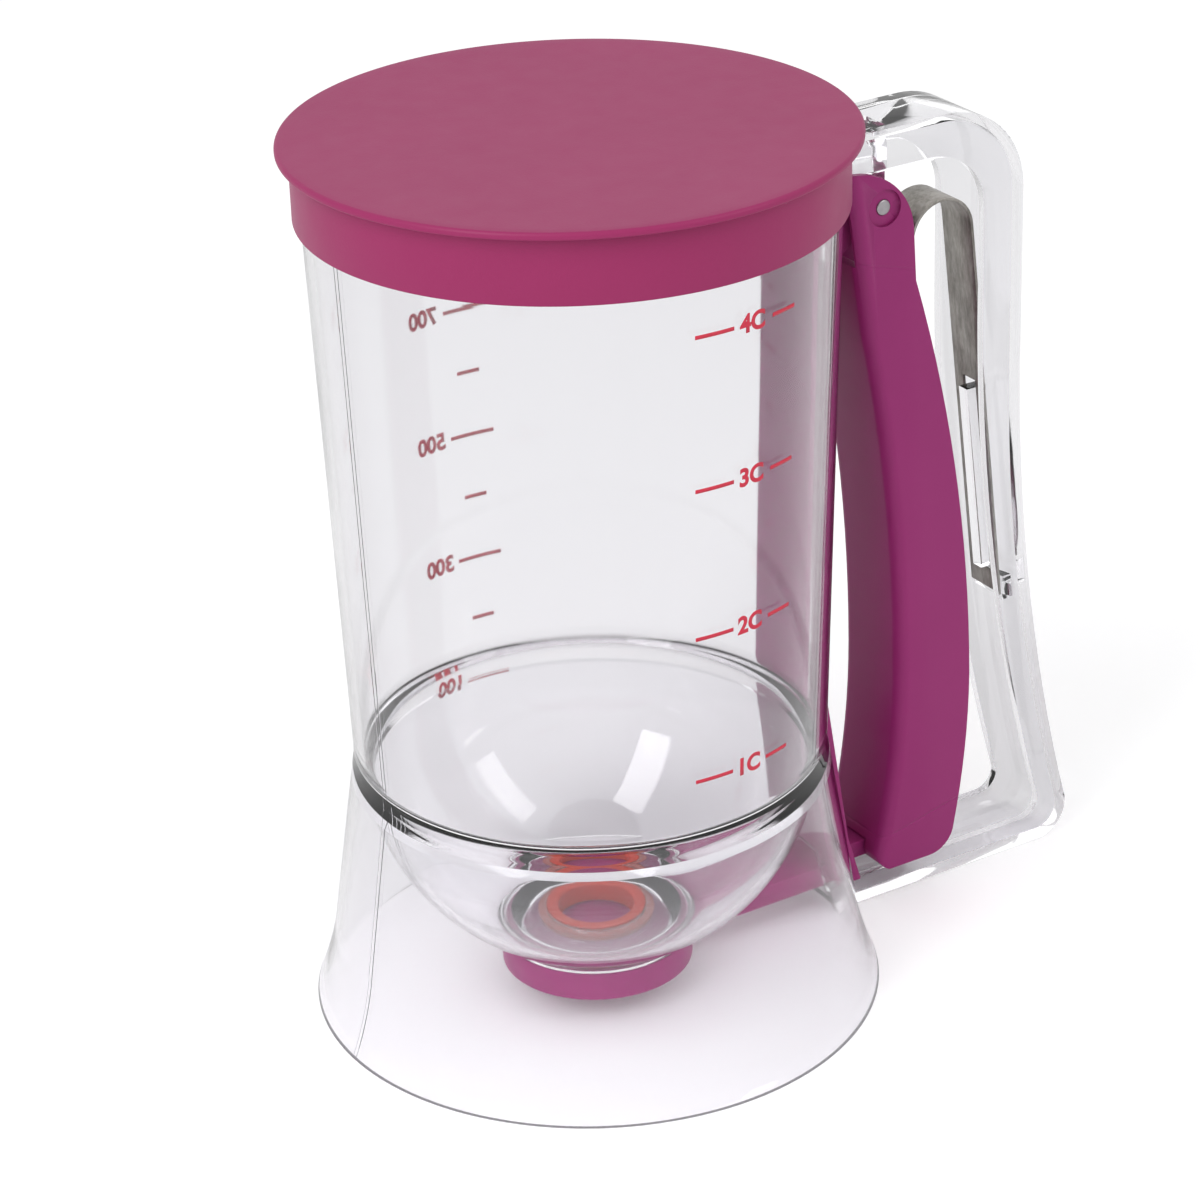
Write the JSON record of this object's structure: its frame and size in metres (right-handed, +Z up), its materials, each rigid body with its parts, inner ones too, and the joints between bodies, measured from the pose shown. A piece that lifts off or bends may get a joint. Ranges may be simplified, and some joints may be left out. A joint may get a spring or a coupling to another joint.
{
  "type": "batter dispenser",
  "caption": "Clear hand-held batter dispenser with a lift-off lid, a flared skirt, a channel handle and a spring-closed trigger that swings a gate under the outlet.",
  "frame": {"origin": "on the axis of the jug, in the plane of the skirt's bottom rim that it stands on", "axes": "+Z up the axis of the jug to the lid, +X from the axis to the handle, +Y to the left of someone who faces along +X"},
  "size_m": [0.189, 0.1264, 0.2],
  "materials": {
    "clear_plastic": "clear, polished",
    "purple_plastic": "fine satin moulded",
    "red_silicone": "soft satin",
    "pin_steel": "turned",
    "spring_steel": "rolled strip"
  },
  "bodies": {
    "jug": {"jug_shell": "clear_plastic", "bowl": "clear_plastic", "handle": "clear_plastic", "outlet_gasket": "red_silicone", "hinge_pin": "pin_steel"},
    "lid": {"lid": "purple_plastic"},
    "trigger": {"trigger_grip": "purple_plastic", "valve_lever": "purple_plastic", "leaf_spring": "spring_steel"}
  },
  "joints": [
    {"name": "lid_lift", "type": "slide", "parent": "jug", "child": "lid", "axis": [0, 0, 1], "range_m": [0, 0.06]},
    {"name": "trigger_hinge", "type": "hinge", "parent": "jug", "child": "trigger", "pos_m": [0.071, 0, 0.1705], "axis": [0, -1, 0], "range_deg": [0, 9], "stiffness_Nm_per_rad": 1.2, "springref_deg": -14.32, "deforming": ["leaf_spring"]}
  ]
}
